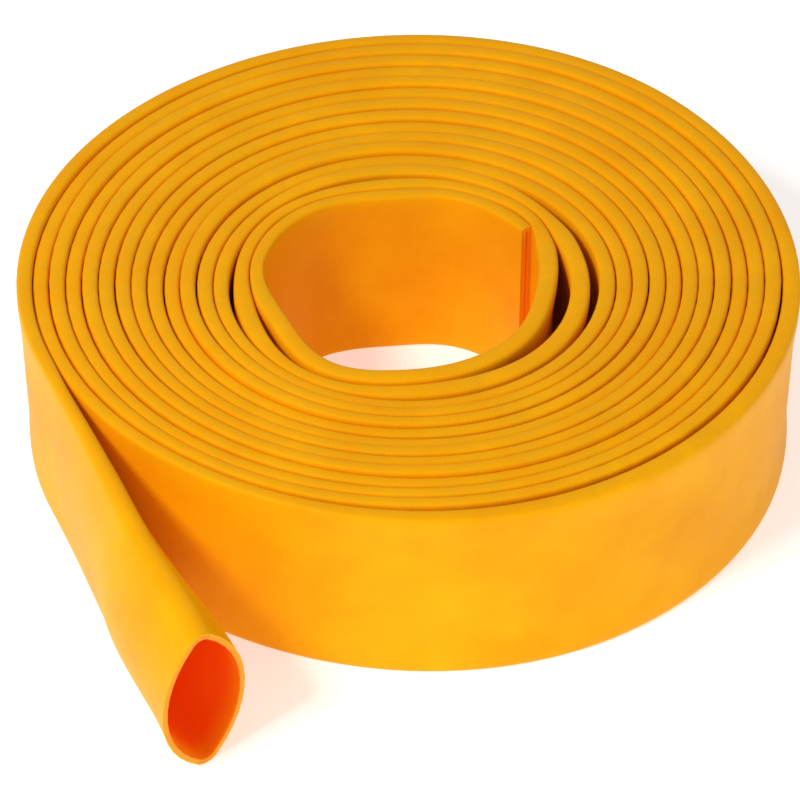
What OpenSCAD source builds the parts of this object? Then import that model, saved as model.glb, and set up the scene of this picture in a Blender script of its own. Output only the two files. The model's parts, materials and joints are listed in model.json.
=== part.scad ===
// A length of lay-flat fire hose, rolled up flat on the floor.
// The hose is three tubes, one inside the other: a smooth liner, a woven jacket and a rubber cover.
// It is wound from the inner end outwards, counter-clockwise seen from above. The outer end leaves the
// roll on a tangent and opens from flat to a pointed oval. +Z is up and the hose stands on Z = 0.

/* [Hose] */
// Inside diameter of the hose when water fills it
bore_d = 50; // [44:1:56]
// Thickness of the liner
liner_t = 0.7; // [0.5:0.1:1]
// Thickness of the woven jacket
jacket_t = 0.9; // [0.7:0.1:1.2]
// Thickness of the cover
cover_t = 0.7; // [0.6:0.1:1]
// Room left between the liner's two walls where the hose lies flat
lumen_gap = 0.6; // [0.4:0.1:1]

/* [Roll] */
// Number of whole turns, before the part turn that leads to the outer end
turns = 14; // [8:1:15]
// Radius of the outer turn, to the middle of the hose
outer_r = 158.3; // [150:0.1:175]
// Room between neighbouring turns at the front of the roll, where they lie tightest
tight_gap = 0.3; // [0.1:0.1:0.5]
// Room between neighbouring turns at the back of the roll, where they lie loosest
loose_gap = 3.1; // [0.5:0.1:3.1]
// Direction of the inner end, seen from the middle of the inner turn
inner_end_dir = 34; // [25:1:50]
// Direction at which the outer end leaves the roll
outer_end_dir = 203; // [190:1:220]

/* [Outer end] */
// Length of the outer end, from where it leaves the roll to its mouth
outer_end_l = 165; // [120:1:200]
// How far each side of the mouth leans out at its folds
mouth_flare = 42; // [20:1:50]
// Radius of the folds at the mouth, to the middle of the wall
mouth_fold_r = 8; // [4:0.5:9]
// How far the mouth leans over towards the roll
mouth_lean = 9; // [0:1:12]

/* [Joints] */
// Room between the two sides of each joint
joint_gap = 0.6; // [0.4:0.1:0.7]

/* [Hidden] */
$fn = 64;

wall = liner_t + jacket_t + cover_t;
half_t = lumen_gap / 2 + wall;            // half the thickness of the flattened hose
fold_r = lumen_gap / 2 + wall / 2;        // radius of a folded edge, to the middle of the wall
half_girth = PI * (bore_d + wall) / 2;    // half the way round the middle of the wall
hose_w = half_girth - PI * fold_r + 2 * half_t;  // width of the flattened hose, and height of the roll

// The spiral is a chain of arcs that meet at two directions. At each meeting the radius grows by a step
// and the centre moves back by as much, so the arcs meet smoothly.
back_dir = 90;
pitch = 2 * half_t + (tight_gap + loose_gap) / 2;
drift = (loose_gap - tight_gap) / 2;
back_step = (pitch - drift) / 2;
front_step = (pitch + drift) / 2;
last_arc = 2 * turns + 1;

function aim(dir) = [cos(dir), sin(dir), 0];
function steps_at_back(arc) = floor((last_arc + 1 - arc) / 2);
function steps_at_front(arc) = last_arc - arc - steps_at_back(arc);
function arc_r(arc) = outer_r - steps_at_back(arc) * back_step - steps_at_front(arc) * front_step;
function arc_centre(arc) =
  (steps_at_back(arc) * back_step - steps_at_front(arc) * front_step) * aim(back_dir);
function arc_from(arc) = arc == 0 ? inner_end_dir : back_dir + 180 * ((arc + 1) % 2);
function arc_to(arc) = arc == 0 ? back_dir : arc == last_arc ? outer_end_dir : arc_from(arc) + 180;

inner_hinge = arc_centre(0) + arc_r(0) * aim(back_dir);
outer_hinge = arc_centre(last_arc) + arc_r(last_arc) * aim(outer_end_dir);

// Layers, as distances out from the inside of the hose
liner = [0, liner_t];
jacket = [liner_t, liner_t + jacket_t];
cover = [liner_t + jacket_t, wall];

// Outer end, seen square to its length: one quarter of the hose's section runs from the middle of a
// fold to half way up a side. X is across the hose and Y is up.
fold_steps = 4;
side_steps = 3;
end_rings = 12;
smooth = function(t) t * t * (3 - 2 * t);
sinc = function(deg) deg == 0 ? 1 : sin(deg) / (deg * PI / 180);

// How far the end has opened, from 0 where it leaves the roll to 1 at the mouth
function opened(t) = t * smooth(min(1, 0.35 + 0.65 * t));
function flare_at(t) = mouth_flare * opened(t);
function fold_r_at(t) = fold_r + (mouth_fold_r - fold_r) * opened(t);

// Each entry is [x, y, heading], where heading is the wall's lean out from upright
function fold_points(flare, r) =
  [for (i = [0:fold_steps]) let (turn = (90 - flare) * i / fold_steps)
    [r * sin(turn), r * (1 - cos(turn)), 90 - turn]];
function side_points(flare, r) =
  let (foot = fold_points(flare, r)[fold_steps], length = half_girth / 2 - r * (90 - flare) * PI / 180)
  [for (i = [1:side_steps])
    let (part = i / side_steps, chord = length * part * sinc(flare * part / 2),
         heading = flare * (1 - part / 2))
    [foot[0] + chord * sin(heading), foot[1] + chord * cos(heading), flare * (1 - part)]];
function quarter(flare, r) = concat(fold_points(flare, r), side_points(flare, r));

// A closed ring of points round the wall, at a distance out from the middle of the wall
function ring(t, out) =
  let (q = quarter(flare_at(t), fold_r_at(t)), last = len(q) - 1, top = 2 * q[last][1],
       low = [for (p = q) [p[0] + out * cos(p[2]), p[1] - out * sin(p[2])]],
       high = [for (i = [last - 1:-1:0]) [low[i][0], top - low[i][1]]],
       side = concat(low, high))
  concat(side, [for (i = [len(side) - 2:-1:1]) [-side[i][0], side[i][1]]]);

// The same ring leaned over and set down on the floor
function lean(t, points) =
  [for (p = points) let (a = mouth_lean * smooth(t))
    [p[0] * cos(a) - p[1] * sin(a), p[0] * sin(a) + p[1] * cos(a)]];
function floor_drop(t) = min([for (p = lean(t, ring(t, wall / 2))) p[1]]);
function placed_ring(t, out) =
  let (drop = floor_drop(t))
  [for (p = lean(t, ring(t, out))) [p[0], p[1] - drop]];

// Rows of 3D points along the outer end, in the hinge's frame: X out from the roll, Y along the hose.
// The first row is rounded about the hinge.
function shell_points(out) =
  [for (k = [0:end_rings]) let (t = k / end_rings)
    for (p = placed_ring(t, out))
      [p[0], k > 0 ? outer_end_l * t : -sqrt(max(0, half_t * half_t - p[0] * p[0])), p[1]]];

function mouth_bounds(axis) =
  let (pts = [for (p = placed_ring(1, wall / 2))
         outer_hinge + p[0] * aim(outer_end_dir) + outer_end_l * aim(outer_end_dir + 90)])
  [for (p = pts) p[axis]];

// The origin is the middle of the whole hose's outline, on the floor.
side_arc = last_arc - 1;
x_low = min(-outer_r - half_t, min(mouth_bounds(0)));
x_high = arc_centre(side_arc)[0] + arc_r(side_arc) + half_t;
y_low = min(mouth_bounds(1));
y_high = outer_r + half_t;
place = -[(x_low + x_high) / 2, (y_low + y_high) / 2, 0];

// Section of one layer of the flattened hose, standing on its edge
module flat_section(layer) {
  translate([0, hose_w / 2]) difference() {
    square([lumen_gap + 2 * layer[1], hose_w - 2 * (wall - layer[1])], center = true);
    square([lumen_gap + 2 * layer[0], hose_w - 2 * (wall - layer[0])], center = true);
  }
}

module arc_stretch(layer, arc, from, to) {
  translate(arc_centre(arc))
    rotate_extrude(angle = to - from, start = from)
      translate([arc_r(arc), 0]) flat_section(layer);
}

module knuckle(at, r) {
  translate(at - [0, 0, 1]) cylinder(r = r, h = hose_w + 2);
}

// Everything from the inner joint to the outer one
module roll(layer) {
  for (arc = [1:last_arc]) {
    difference() {
      arc_stretch(layer, arc, arc_from(arc), arc_to(arc));
      if (arc == 1) knuckle(inner_hinge, half_t + joint_gap);
      if (arc == last_arc) knuckle(outer_hinge, half_t + joint_gap);
    }
  }
}

// The first stretch of the inner turn, rounded about the inner joint
module inner_end(layer) {
  past = asin(half_t / arc_r(0));
  arc_stretch(layer, 0, inner_end_dir, back_dir);
  intersection() {
    arc_stretch(layer, 0, back_dir, back_dir + past);
    knuckle(inner_hinge, half_t);
  }
}

// The straight stretch from the outer joint to the mouth
module outer_end(layer) {
  n = len(ring(0, 0));
  outside = shell_points(layer[1] - wall / 2);
  inside = shell_points(layer[0] - wall / 2);
  total = len(outside);
  spans = [for (k = [0:end_rings - 1], i = [0:n - 1]) [k * n + i, k * n + (i + 1) % n]];
  rims = [for (i = [0:n - 1]) [i, (i + 1) % n]];
  faces = concat(
    [for (s = spans) each [[s[0], s[1], s[1] + n], [s[0], s[1] + n, s[0] + n]]],
    [for (s = spans) each [[s[1] + total, s[0] + total, s[1] + n + total],
                           [s[1] + n + total, s[0] + total, s[0] + n + total]]],
    [for (s = rims) each [[s[1], s[0], s[0] + total], [s[1], s[0] + total, s[1] + total]]],
    [for (s = [for (r = rims) [r[0] + total - n, r[1] + total - n]])
      each [[s[0], s[1], s[1] + total], [s[0], s[1] + total, s[0] + total]]]
  );
  translate(outer_hinge) rotate([0, 0, outer_end_dir])
    polyhedron(points = concat(outside, inside), faces = faces);
}

module roll_cover() { color("orange") translate(place) roll(cover); }
module roll_jacket() { color("wheat") translate(place) roll(jacket); }
module roll_liner() { color("orangered") translate(place) roll(liner); }
module outer_end_cover() { color("orange") translate(place) outer_end(cover); }
module outer_end_jacket() { color("wheat") translate(place) outer_end(jacket); }
module outer_end_liner() { color("orangered") translate(place) outer_end(liner); }
module inner_end_cover() { color("orange") translate(place) inner_end(cover); }
module inner_end_jacket() { color("wheat") translate(place) inner_end(jacket); }
module inner_end_liner() { color("orangered") translate(place) inner_end(liner); }

roll_cover();
roll_jacket();
roll_liner();
outer_end_cover();
outer_end_jacket();
outer_end_liner();
inner_end_cover();
inner_end_jacket();
inner_end_liner();
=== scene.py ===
"""A length of lay-flat fire hose, rolled up flat on the floor with its outer end lying free.

The hose is three tubes, one inside the other: cover, jacket and liner. Each is swept along the same
spiral and made in three pieces: the roll, the outer end and the inner end.
"""
import json
import math
import random
from functools import partial

import bpy
import numpy as np
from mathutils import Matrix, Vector


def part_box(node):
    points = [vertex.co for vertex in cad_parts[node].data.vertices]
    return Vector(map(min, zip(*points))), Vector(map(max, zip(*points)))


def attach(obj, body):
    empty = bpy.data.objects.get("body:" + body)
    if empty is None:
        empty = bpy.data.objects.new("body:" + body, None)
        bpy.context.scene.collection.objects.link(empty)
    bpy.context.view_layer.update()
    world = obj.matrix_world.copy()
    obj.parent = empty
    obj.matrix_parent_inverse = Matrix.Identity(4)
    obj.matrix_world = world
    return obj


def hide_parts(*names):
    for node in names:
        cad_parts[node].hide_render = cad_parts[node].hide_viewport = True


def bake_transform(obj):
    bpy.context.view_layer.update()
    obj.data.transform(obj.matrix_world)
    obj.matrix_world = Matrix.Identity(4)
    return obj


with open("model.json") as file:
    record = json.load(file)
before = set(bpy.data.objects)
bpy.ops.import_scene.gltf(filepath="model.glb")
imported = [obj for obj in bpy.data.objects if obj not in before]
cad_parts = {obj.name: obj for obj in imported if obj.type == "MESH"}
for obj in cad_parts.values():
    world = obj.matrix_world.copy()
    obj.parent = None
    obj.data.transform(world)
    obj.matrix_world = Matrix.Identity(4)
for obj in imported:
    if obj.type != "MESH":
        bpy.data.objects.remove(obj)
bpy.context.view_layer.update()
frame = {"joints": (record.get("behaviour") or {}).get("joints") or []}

MM = 0.001

# ---------------------------------------------------------------- sizes, in millimetres as in the CAD
BORE_D = 50
LINER_T, JACKET_T, COVER_T = 0.7, 0.9, 0.7
LUMEN_GAP = 0.6                          # room between the liner's walls where the hose lies flat
WALL = LINER_T + JACKET_T + COVER_T
HALF_T = WALL + LUMEN_GAP / 2            # half the thickness of the flattened hose
FOLD_R = HALF_T - WALL / 2               # radius of a folded edge, to the middle of the wall
HALF_GIRTH = math.pi * (BORE_D + WALL) / 2    # half the way round the middle of the wall

# The spiral is a chain of half-turn arcs. From one arc to the next the radius grows by a step, at the
# back of the roll and at the front in turn. Directions are in degrees and run on from turn to turn.
TURNS = 14
LAST_ARC = 2 * TURNS + 1
OUTER_R, BACK_STEP, FRONT_STEP = 158.3, 2.75, 4.15
INNER_DIR, BACK_DIR, OUTER_DIR = 34, 90, 203
LAST_TURN = 360 * TURNS                  # direction 0 in the outer turn
SPIRAL_END = LAST_TURN + OUTER_DIR       # the spiral's direction where the outer end leaves the roll

roll_low, roll_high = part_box("roll_cover")
HOSE_W = (roll_high.z - roll_low.z) / MM
joints = {j["name"]: Vector(j["pos_m"]) for j in frame["joints"]}
inner_hinge, outer_hinge = joints["inner_end_swing"], joints["outer_end_swing"]
CENTRE = np.array([inner_hinge.x / MM, roll_high.y / MM - OUTER_R - HALF_T])

# Where the eye's turns stand off the even spiral: (direction along the spiral, shift outwards)
EYE_SHIFTS = [
    (34, 2.5), (70, 2), (95, -1), (130, 2.5), (165, 0.5), (205, -6), (240, -1.5), (270, -5),
    (320, -6.5), (355, -8), (380, -3.5), (395, 0.5), (430, 0), (455, -2), (500, 1), (555, -2.5),
    (595, 0.5), (640, -2), (680, 0.5), (735, -1.5), (800, 0),
]
EYE_END = EYE_SHIFTS[-1][0]
# How far the other turns stand off it: (direction, shift of the inner turns, shift of the outer turn)
SLACK = [(0, 3.7, -1.3), (316, 0, 6.6), (127, 0, -6.4)]
LAST_TURN_SLACK = 2.0                    # how much further out than that the outer turn stands
SLACK_FROM, SLACK_TO = LAST_TURN - 120, LAST_TURN + 25    # where it does, from front left to right
SLACK_RAMP = 60                          # degrees in which that comes, and in which it goes

EDGE_MIN, EDGE_MAX, EYE_EDGE_MAX = 2.62, 4.15, 4.6    # half the thickness of a folded edge
EDGE_GAP = 0.08                          # how far an edge stops short of half way to its neighbour
EDGE_TAPER = 16                          # height over which an edge thins to the flat middle
EDGE_SQUARE = 0.52                       # 1 for a round edge, less for a flatter one
SIDE_HEIGHTS = (3, 6.5, 10.5, EDGE_TAPER, 26)    # heights of a side's points above the folded edge
# Steps on a quarter of the section, round its fold and from there half way up its side
FOLD_STEPS, SIDE_STEPS = 5, len(SIDE_HEIGHTS) + 1

END_L, MOUTH_FLARE, MOUTH_FOLD_R = 165, 47, 6
OPENED_EARLY = 0.35                      # how soon the outer end opens, from 0 for late to 1 for early
FLAT_SHARE = 0.25                        # share of it in which the roll's section gives way to its own
STRAIGHTENING = 0.5                      # share of it in which it comes onto the tangent
END_LEANS = [(0, 0), (0.65, 1.6), (1, -1)]    # (place along it, how far it leans to the roll)
# What comes about over the last share of it, and that share
MOUTH_ASIDE, ASIDE_SHARE = 8, 5 / 12     # how far the mouth lies towards the roll from the tangent
CUT_TURN, TURN_SHARE = 17, 0.4           # how far the mouth's cut turns from square, to face the roll
CUT_SLANT, SLANT_SHARE = 3, 0.25         # how much shorter the outer end is cut at its lower edge

# Room between stations: degrees in the roll's parts, millimetres in the straight part of the outer end
INNER_END_STEP, EYE_STEP, TURN_STEP, OUTER_TURN_STEP, HINGE_STEP, END_STEP = 2, 2.5, 4.4, 2.4, 1, 3
ROLL_OVERLAP, END_OVERLAP = 20, 30       # how far each side of a hinge the hose bends

WEAR_DEPTH = 5                           # how far from the roll's top and bottom the scuffs reach
CUT_PAINTED_LIGHT_REACH, PAINTED_LIGHT_MOST = 14, 0.8            # how far in from a cut end the liner is painted lighter, and how much: painted light for light coming in at the open end


# ---------------------------------------------------------------- curves
def smooth(t):
    t = np.clip(t, 0, 1)
    return t * t * (3 - 2 * t)


def towards_mouth(t, share):
    """Rises from 0 to 1 over the last share of the outer end."""
    return smooth(1 - (1 - t) / share)


def through(knots, x):
    """A smooth curve through the knots, level before the first and after the last."""
    kx, ky = np.array(knots, float).T
    slope = np.gradient(ky, kx)
    slope[0] = slope[-1] = 0
    x = np.clip(x, kx[0], kx[-1])
    i = np.clip(np.searchsorted(kx, x) - 1, 0, len(kx) - 2)
    step = kx[i + 1] - kx[i]
    t = (x - kx[i]) / step
    return ((2 * t**3 - 3 * t**2 + 1) * ky[i] + (t**3 - 2 * t**2 + t) * step * slope[i]
            + (3 * t**2 - 2 * t**3) * ky[i + 1] + (t**3 - t**2) * step * slope[i + 1])


def uneven(seed, gap, low, high):
    """Random knots along the spiral and just past it, one every gap degrees."""
    rng = random.Random(seed)
    return [(a, rng.uniform(low, high)) for a in range(0, SPIRAL_END + 400, gap)]


EDGE_RISE = uneven(11, 97, -1.5, 0.8)      # how high each stretch of the upper edge stands
RISE_FADE = 200                            # degrees before the spiral's end over which that fades out
EDGE_SLACK = uneven(5, 71, 0.0, 0.6)       # how much thinner each stretch of the edges is
WANDER = uneven(3, 83, -0.28, 0.28)        # how far each stretch wanders in or out


def shift(along):
    """How far the spiral stands off the even one, outwards."""
    share = along / SPIRAL_END
    loose = through(WANDER, along)
    for direction, inner, outer in SLACK:
        lobe = np.maximum(0, np.cos(np.radians(along - direction))) ** 2
        loose = loose + lobe * (inner + (outer - inner) * share)
    coming = smooth((along - SLACK_FROM) / SLACK_RAMP)
    going = smooth((SLACK_TO - along) / SLACK_RAMP)
    loose = loose + LAST_TURN_SLACK * coming * going
    return np.where(along < EYE_END, through(EYE_SHIFTS, along), loose)


def steps_inwards(arc):
    """How far in from the last arc an arc lies, by its steps at the back and by those at the front."""
    back = (LAST_ARC + 1 - arc) // 2
    return back * BACK_STEP, (LAST_ARC - arc - back) * FRONT_STEP


def spiral(along):
    """Points on the middle of the hose, about the roll's centre, at directions along the spiral."""
    along = np.asarray(along, float)
    arc = np.where(along < BACK_DIR, 0, np.minimum(LAST_ARC, 1 + (along - BACK_DIR) // 180))
    back, front = steps_inwards(arc)
    r = OUTER_R - back - front + shift(along)
    a = np.radians(along)
    return np.stack([r * np.cos(a), back - front + r * np.sin(a)], 1)


def outwards(along):
    """Unit vectors square to the spiral, pointing out of the roll."""
    ahead = spiral(along + 0.5) - spiral(along - 0.5)
    ahead /= np.linalg.norm(ahead, axis=1)[:, None]
    return np.stack([ahead[:, 1], -ahead[:, 0]], 1)


def edge_half(along):
    """Half the thickness of the folded edges, so that they nearly meet their neighbours'."""
    here, out = spiral(along), outwards(along)
    room = np.full(len(along), 2 * EYE_EDGE_MAX)
    for turn in (-360, 360):
        near = along + turn
        there = (near > INNER_DIR) & (near < SPIRAL_END)
        gap = np.abs(((spiral(near) - here) * out).sum(1))
        room = np.where(there, np.minimum(room, gap), room)
    most = np.where(along < EYE_END, EYE_EDGE_MAX, EDGE_MAX) - through(EDGE_SLACK, along)
    return np.clip(room / 2 - EDGE_GAP, EDGE_MIN, most)


# ---------------------------------------------------------------- sections
def whole_ring(quarter, top):
    """A closed ring from a quarter that runs from the lower fold to half way up the outer side."""
    high = np.stack([quarter[-2::-1, 0], top - quarter[-2::-1, 1]], 1)
    side = np.concatenate([quarter, high])
    return np.concatenate([side, np.stack([-side[-2:0:-1, 0], side[-2:0:-1, 1]], 1)])


def flat_ring(edge, height, depth):
    """The hose lying flat, at a depth in the wall: two full folded edges and a thinner middle."""
    half, inner_edge = HALF_T - depth, edge - depth
    turn = np.radians(90) * np.arange(FOLD_STEPS + 1) / FOLD_STEPS
    fold = np.stack([np.sin(turn) ** EDGE_SQUARE, 1 - np.cos(turn) ** EDGE_SQUARE], 1) * inner_edge
    up = np.array([*SIDE_HEIGHTS, height / 2 - edge])
    thin = inner_edge + (half - inner_edge) * smooth(up / EDGE_TAPER)
    quarter = np.concatenate([fold, np.stack([thin, inner_edge + up], 1)])
    quarter[:, 1] += depth
    return whole_ring(quarter, height)


def open_ring(t, depth):
    """The outer end at a depth in the wall: a pointed oval that opens from flat to the mouth at t = 1."""
    opened = t * smooth(OPENED_EARLY + (1 - OPENED_EARLY) * t)
    flare = math.radians(MOUTH_FLARE) * opened
    r = FOLD_R + (MOUTH_FOLD_R - FOLD_R) * opened
    turn = (math.pi / 2 - flare) * np.arange(FOLD_STEPS + 1) / FOLD_STEPS
    fold = np.stack([r * np.sin(turn), r * (1 - np.cos(turn))], 1)
    part = np.arange(1, SIDE_STEPS + 1) / SIDE_STEPS
    length = HALF_GIRTH / 2 - r * (math.pi / 2 - flare)
    lean = flare * (1 - part / 2)
    chord = length * part * np.sinc(flare * part / 2 / math.pi)
    side = fold[-1] + np.stack([chord * np.sin(lean), chord * np.cos(lean)], 1)
    quarter = np.concatenate([fold, side])
    heading = np.concatenate([math.pi / 2 - turn, flare * (1 - part)])
    top = 2 * quarter[-1, 1] + WALL
    quarter += (WALL / 2 - depth) * np.stack([np.cos(heading), -np.sin(heading)], 1)
    quarter[:, 1] += WALL / 2
    return whole_ring(quarter, top)


def leaned_ring(t, depth):
    """The open ring leaned over and set down on the floor."""
    angle = math.radians(through(END_LEANS, t))
    c, s = math.cos(angle), math.sin(angle)
    outside, ring = (np.stack([r[:, 0] * c - r[:, 1] * s, r[:, 0] * s + r[:, 1] * c], 1)
                     for r in (open_ring(t, 0), open_ring(t, depth)))
    ring[:, 1] -= outside[:, 1].min()
    return ring


def end_ring(flat, t, depth):
    """Changes from the flat ring to the open one over the first part of the outer end."""
    share = smooth(t / FLAT_SHARE)
    return flat(depth) * (1 - share) + leaned_ring(t, depth) * share


# ---------------------------------------------------------------- stretches of the hose
class Stretch:
    """Stations along a stretch of hose: where each is, which way is out, its ring at any depth, how
    far it is along the hose, and how far its lower edge is cut back."""

    def __init__(self):
        self.at, self.out, self.ring, self.length, self.slant = [], [], [], [], []

    def add(self, at, out, ring, slant=(0, 0)):
        step = np.linalg.norm(at - self.at[-1]) if self.at else 0
        self.length.append((self.length[-1] if self.length else 0) + step)
        self.at.append(at)
        self.out.append(out)
        self.ring.append(ring)
        self.slant.append(np.array(slant))


def wound(stretch, start, end, step):
    """Adds the stretch of the spiral from one direction to another."""
    along = np.linspace(start, end, max(2, round((end - start) / step)))
    rise = through(EDGE_RISE, along) * smooth((SPIRAL_END - along) / RISE_FADE)
    rows = zip(spiral(along) + CENTRE, outwards(along), edge_half(along), HOSE_W + rise)
    for at, out, edge, height in rows:
        stretch.add(at, out, partial(flat_ring, edge, height))


def degrees_at(r, length):
    return math.degrees(length / r)


# Where along the spiral the hose is split into its three pieces
INNER_SPLIT = BACK_DIR + degrees_at(OUTER_R - sum(steps_inwards(0)), ROLL_OVERLAP)
OUTER_SPLIT = SPIRAL_END - degrees_at(OUTER_R, ROLL_OVERLAP)


def inner_end_stretch():
    s = Stretch()
    wound(s, INNER_DIR, INNER_SPLIT, INNER_END_STEP)
    return s


def roll_stretch():
    s = Stretch()
    outer_turn = OUTER_SPLIT - 360
    wound(s, INNER_SPLIT, EYE_END, EYE_STEP)
    wound(s, EYE_END + TURN_STEP, outer_turn, TURN_STEP)
    wound(s, outer_turn + OUTER_TURN_STEP, OUTER_SPLIT, OUTER_TURN_STEP)
    return s


def outer_end_stretch():
    s = Stretch()
    wound(s, OUTER_SPLIT, SPIRAL_END, HINGE_STEP)
    flat, start = s.ring[-1], s.at[-1]
    hinge = np.array(outer_hinge[:2]) / MM
    a = math.radians(OUTER_DIR)
    out, ahead = np.array([math.cos(a), math.sin(a)]), np.array([-math.sin(a), math.cos(a)])
    count = END_L // END_STEP
    for k in range(1, count + 1):
        t = k / count
        off_tangent = (start - hinge) * (1 - smooth(t / STRAIGHTENING))
        aside = -out * MOUTH_ASIDE * towards_mouth(t, ASIDE_SHARE)
        turn = math.radians(CUT_TURN) * towards_mouth(t, TURN_SHARE)
        across = out * math.cos(turn) + ahead * math.sin(turn)
        slant = -ahead * CUT_SLANT * towards_mouth(t, SLANT_SHARE)
        s.add(hinge + ahead * END_L * t + off_tangent + aside, across, partial(end_ring, flat, t), slant)
    return s


# ---------------------------------------------------------------- meshes
def surface(stretch, depth, skip):
    """The points of the hose at a depth in the wall, in metres, with one row for each station."""
    rows = []
    for at, out, ring, slant in zip(stretch.at, stretch.out, stretch.ring, stretch.slant):
        r = ring(depth)[::skip] * MM
        xy = at * MM + r[:, :1] * out + (1 - r[:, 1:] / HOSE_W / MM) * slant * MM
        rows.append(np.concatenate([xy, r[:, 1:]], 1))
    return np.array(rows)


def tube_faces(n, m, w):
    """Faces of a closed tube with n stations, and m points round its outside and w round its inside."""
    inside, coarse = n * m, m // w

    def skin(first, around):
        k, i = np.meshgrid(np.arange(n - 1), np.arange(around), indexing="ij")
        a = first + k * around + i
        b = first + k * around + (i + 1) % around
        return np.stack([a, b, b + around, a + around], -1).reshape(-1, 4)

    faces = [tuple(f) for f in skin(0, m)[:, ::-1]] + [tuple(f) for f in skin(inside, w)]
    for row in (0, n - 1):
        for i in range(w):
            rim = [row * m + (i * coarse + j) % m for j in range(coarse + 1)]
            rim += [inside + row * w + (i + 1) % w, inside + row * w + i]
            faces.append(tuple(rim if row else rim[::-1]))
    return faces


def unwrap(mesh, run, around):
    """Maps the wall by its own length and girth, in metres. run and around are each point's place
    along the hose, in metres, and round it, from 0 to 1."""
    corner = np.zeros(len(mesh.loops), np.int32)
    mesh.loops.foreach_get("vertex_index", corner)
    count = np.zeros(len(mesh.polygons), np.int32)
    mesh.polygons.foreach_get("loop_total", count)
    u, v = run[corner], around[corner]
    first = np.cumsum(count) - count
    v -= np.round(v - np.repeat(v[first], count))
    uv = np.stack([u, v * 2 * HALF_GIRTH * MM], 1)
    mesh.uv_layers.new(name="wall").data.foreach_set("uv", uv.astype(np.float32).ravel())


def tube(name, stretch, outside, inside, cut, coarse=1):
    """A closed tube between two depths in the wall. cut is where along it the hose was cut, and
    the inside has one point for every coarse points of the outside."""
    outer, inner = surface(stretch, outside, 1), surface(stretch, inside, coarse)
    n, m, w = len(outer), outer.shape[1], inner.shape[1]
    points = np.concatenate([outer.reshape(-1, 3), inner.reshape(-1, 3)])
    mesh = bpy.data.meshes.new(name)
    mesh.from_pydata(points.tolist(), [], tube_faces(n, m, w))
    length = np.array(stretch.length) * MM
    run = np.concatenate([np.repeat(length, m), np.repeat(length, w)])
    around = np.concatenate([np.tile(np.arange(m) / m, n), np.tile(np.arange(w) / w, n)])
    # painted light: how much lighter the liner is painted near a cut end, where light comes in
    painted_light_near_cut = mesh.attributes.new("painted_light_near_cut", "FLOAT", "POINT")
    painted_light_near_cut.data.foreach_set("value", PAINTED_LIGHT_MOST * smooth(1 - np.abs(run - cut) / (CUT_PAINTED_LIGHT_REACH * MM)))
    unwrap(mesh, run, around)
    mesh.polygons.foreach_set("use_smooth", [True] * len(mesh.polygons))
    mesh.set_sharp_from_angle(angle=math.radians(60))
    mesh.update()
    obj = bpy.data.objects.new(name, mesh)
    bpy.context.scene.collection.objects.link(obj)
    return obj


# ---------------------------------------------------------------- materials
COVER_DARK, COVER_LIGHT, COVER_WORN = (0.9, 0.35, 0.001), (0.97, 0.435, 0.002), (0.86, 0.39, 0.004)
COVER_SHEEN = (1, 0.75, 0.35)
JACKET_ORANGE = (0.92, 0.36, 0.01)
# the liner's red is partly its own colour and partly painted shade for light bounced deep inside the hose;
# dark and light are a random drift of tone
LINER_DARK, LINER_LIGHT, LINER_PAINTED_LIT_AT_CUT = (0.93, 0.1, 0.002), (0.96, 0.15, 0.003), (0.95, 0.34, 0.003)
# painted light: a faint glow given to the liner, standing in for light that comes through its thin wall;
# the liner is no lamp
LINER_PAINTED_GLOW = (1, 0.13, 0.003)
FLOOR_WHITE, WHITE = (0.93, 0.93, 0.93), (1, 1, 1)
COVER_THREAD, JACKET_THREAD = 0.0018, 0.0012    # from one thread of the weave to the next, in metres
BANDS_PER_UNIT = 3.183                          # bands in one unit of a Wave texture at a scale of 1


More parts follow.
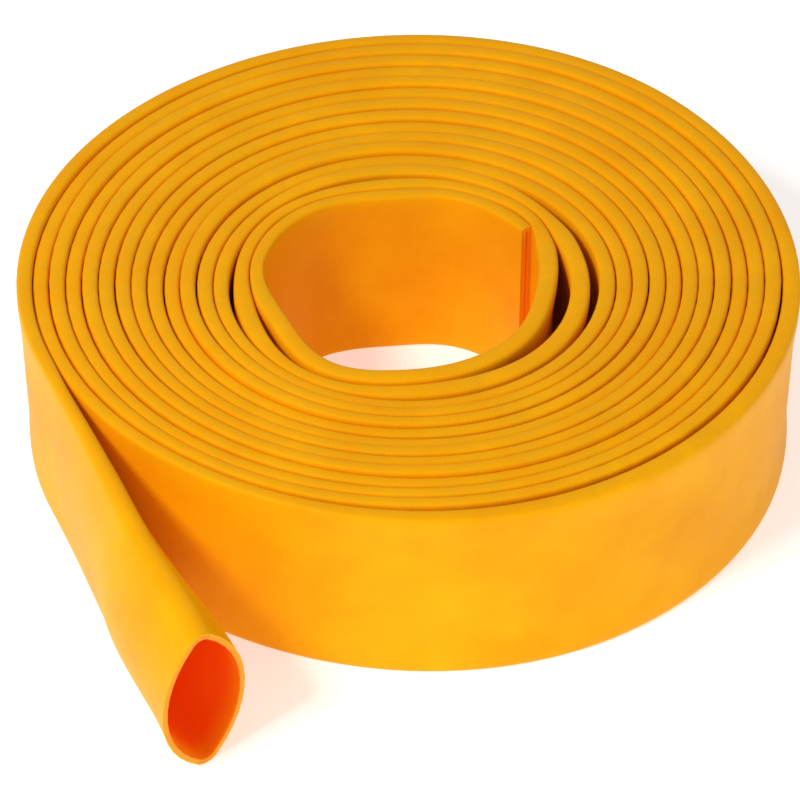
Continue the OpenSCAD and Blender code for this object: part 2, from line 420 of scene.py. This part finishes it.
class Look:
    """A material in the making. A socket takes a number, a colour or another node's output."""

    def __init__(self, name, inputs):
        self.material = bpy.data.materials.new(name)
        self.material.use_nodes = True
        self.tree = self.material.node_tree
        self.bsdf = self.tree.nodes["Principled BSDF"]
        self.fill(self.bsdf, inputs)

    def fill(self, node, inputs):
        for name, value in inputs.items():
            socket = node.inputs[name]
            if isinstance(value, bpy.types.NodeSocket):
                self.tree.links.new(value, socket)
            else:
                socket.default_value = (*value, 1) if socket.type == "RGBA" else value

    def add(self, kind, inputs, output=0, **settings):
        """Adds a node with these inputs and settings, and gives one of its outputs."""
        node = self.tree.nodes.new("ShaderNode" + kind)
        for name, value in settings.items():
            setattr(node, name, value)
        self.fill(node, inputs)
        return node.outputs[output]

    def maths(self, operation, *values):
        return self.add("Math", dict(enumerate(values)), operation=operation)

    def place(self):
        """The point's place in the piece's own space."""
        return self.add("TexCoord", {}, "Object")

    def mottled(self, scale, detail, dark, light):
        """A colour that drifts between two colours."""
        cloud = self.add("TexNoise", {"Vector": self.place(), "Scale": scale, "Detail": detail,
                                      "Roughness": 0.55}, "Fac")
        ramp = self.add("ValToRGB", {"Fac": cloud}, "Color")
        ends = ramp.node.color_ramp.elements
        for end, position, colour in zip(ends, (0.3, 0.7), (dark, light)):
            end.position = position
            end.color = (*colour, 1)
        return ramp

    def weave(self, thread, strength, distance):
        """Dents the surface with warp and weft threads, laid by the wall's own length and girth."""
        wall = self.add("UVMap", {}, "UV", uv_map="wall")
        scale = 1 / thread / BANDS_PER_UNIT
        warp, weft = (self.add("TexWave", {"Vector": wall, "Scale": scale, "Distortion": 0.4, "Detail": 1},
                               "Fac", bands_direction=direction) for direction in ("X", "Y"))
        height = self.maths("MULTIPLY", warp, weft)
        bump = self.add("Bump", {"Height": height, "Strength": strength, "Distance": distance})
        self.fill(self.bsdf, {"Normal": bump})

    def scuffed(self, colour, worn):
        """Scuffs of the worn colour on the folded edges, which lie at the roll's top and bottom."""
        middle = HOSE_W * MM / 2
        height = self.add("SeparateXYZ", {"Vector": self.place()}, "Z")
        off_middle = self.maths("ABSOLUTE", self.maths("SUBTRACT", height, middle))
        edge = self.add("MapRange", {"Value": off_middle, "From Min": middle - WEAR_DEPTH * MM,
                                     "From Max": middle}, interpolation_type="SMOOTHSTEP")
        patches = self.add("TexNoise", {"Vector": self.place(), "Scale": 90, "Detail": 5,
                                        "Roughness": 0.65}, "Fac")
        patchy = self.add("MapRange", {"Value": patches, "From Min": 0.4, "From Max": 0.7})
        amount = self.maths("MULTIPLY", edge, patchy)
        return self.add("MixRGB", {"Fac": amount, "Color1": colour, "Color2": worn})


def cover_material():
    look = Look("cover_rubber", {"Roughness": 0.46, "Specular IOR Level": 0.1,
                                 "Specular Tint": COVER_SHEEN})
    colour = look.mottled(28, 4, COVER_DARK, COVER_LIGHT)
    look.fill(look.bsdf, {"Base Color": look.scuffed(colour, COVER_WORN)})
    look.weave(COVER_THREAD, 0.3, 0.0002)
    return look.material


def jacket_material():
    look = Look("jacket_weave", {"Base Color": JACKET_ORANGE, "Roughness": 0.85})
    look.weave(JACKET_THREAD, 0.6, 0.0004)
    return look.material


def liner_material():
    """Orange-red: partly the liner's own colour, partly painted shade for light bounced deep inside the
    hose. Painted lighter, as orange as the cover, at the cut ends where light shines in, and given a faint
    painted glow for light through the thin wall.
    """
    # the emission is painted light: a glow for light through the thin wall
    look = Look("liner_rubber_painted_light_and_shade", {"Roughness": 0.42, "Specular IOR Level": 0.2,
                                 "Emission Color": LINER_PAINTED_GLOW, "Emission Strength": 0.1})
    # painted light near the cut ends: the liner mixes towards orange there
    painted_light_near_cut = look.add("Attribute", {}, "Fac", attribute_name="painted_light_near_cut")
    colour = look.mottled(40, 3, LINER_DARK, LINER_LIGHT)
    colour = look.add("MixRGB", {"Fac": painted_light_near_cut, "Color1": colour, "Color2": LINER_PAINTED_LIT_AT_CUT})
    look.fill(look.bsdf, {"Base Color": colour})
    return look.material


def floor_material():
    look = Look("floor_white", {"Base Color": FLOOR_WHITE, "Roughness": 0.8, "Specular IOR Level": 0.1,
                                "Emission Color": WHITE, "Emission Strength": 0.4})
    return look.material


# ---------------------------------------------------------------- the hose
def bend_about(hinge, ahead):
    """Where the hose starts and ends its bend about a hinge, on its way out of the roll."""
    return hinge - ahead * ROLL_OVERLAP * MM, hinge + ahead * END_OVERLAP * MM


# Each layer's two depths in the wall and its material
LAYERS = {
    "cover": (0, COVER_T, cover_material()),
    "jacket": (COVER_T, COVER_T + JACKET_T, jacket_material()),
    "liner": (COVER_T + JACKET_T, WALL, liner_material()),
}
inner_end, roll, outer_end = inner_end_stretch(), roll_stretch(), outer_end_stretch()
along_inner_end = Vector((1, 0, 0))
along_outer_end = Vector((-math.sin(math.radians(OUTER_DIR)), math.cos(math.radians(OUTER_DIR)), 0))
NO_CUT = -1                              # a place that no stretch reaches, in metres like the cuts
# Each part's stretch, where along it the hose was cut, how coarse its inside is, and where it bends
PARTS = {
    "roll": (roll, NO_CUT, 2, None),
    "outer_end": (outer_end, outer_end.length[-1] * MM, 1, bend_about(outer_hinge, along_outer_end)),
    "inner_end": (inner_end, 0, 1, bend_about(inner_hinge, along_inner_end)),
}
for part, (stretch, cut, coarse, bend) in PARTS.items():
    for layer, (outside, inside, material) in LAYERS.items():
        piece = tube(f"hose_{part}_{layer}", stretch, outside, inside, cut, coarse)
        piece.data.materials.append(material)
        if bend:
            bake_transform(piece)
        else:
            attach(piece, "roll")
        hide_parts(f"{part}_{layer}")


# ---------------------------------------------------------------- floor, light and camera
CAMERA_DISTANCE, SENSOR_W, LENS = 1.42, 36, 151.9
CAMERA_DOWN = 39.92                      # how far below level the roll's middle lies from the camera
AIM_BELOW, AIM_LEFT = 1.189, 0.077       # how far past that middle the camera aims, in degrees


def floor():
    bpy.ops.mesh.primitive_plane_add(size=12, location=(0, 0, 0))
    plane = bpy.context.object
    plane.name = "floor"
    plane.data.materials.append(floor_material())


def lamp(name, at, size, power):
    """A soft lamp that faces the hose."""
    data = bpy.data.lights.new(name, "AREA")
    data.shape = "RECTANGLE"
    data.size, data.size_y = size
    data.energy = power
    obj = bpy.data.objects.new(name, data)
    obj.location = at
    obj.rotation_euler = (-Vector(at)).to_track_quat("-Z", "Y").to_euler()
    bpy.context.scene.collection.objects.link(obj)


def studio():
    world = bpy.data.worlds.new("studio")
    world.use_nodes = True
    background = world.node_tree.nodes["Background"]
    background.inputs["Color"].default_value = (*WHITE, 1)
    background.inputs["Strength"].default_value = 0.5
    bpy.context.scene.world = world
    lamp("key", at=(-1.1, -0.95, 1.65), size=(0.5, 0.4), power=25)
    lamp("fill", at=(0.8, -1.5, 0.4), size=(1.2, 0.8), power=4)
    bpy.context.scene.view_settings.view_transform = "Standard"


def camera():
    data = bpy.data.cameras.new("camera")
    data.sensor_width, data.lens = SENSOR_W, LENS
    obj = bpy.data.objects.new("camera", data)
    middle = Vector((*CENTRE * MM, HOSE_W * MM / 2))
    down, tilt, left = (math.radians(a) for a in (CAMERA_DOWN, CAMERA_DOWN + AIM_BELOW, AIM_LEFT))
    obj.location = middle + CAMERA_DISTANCE * Vector((0, -math.cos(down), math.sin(down)))
    look = Vector((0, math.cos(tilt), -math.sin(tilt))) * math.cos(left) - Vector((math.sin(left), 0, 0))
    obj.rotation_euler = look.to_track_quat("-Z", "Y").to_euler()
    bpy.context.scene.collection.objects.link(obj)
    bpy.context.scene.camera = obj


floor()
studio()
camera()
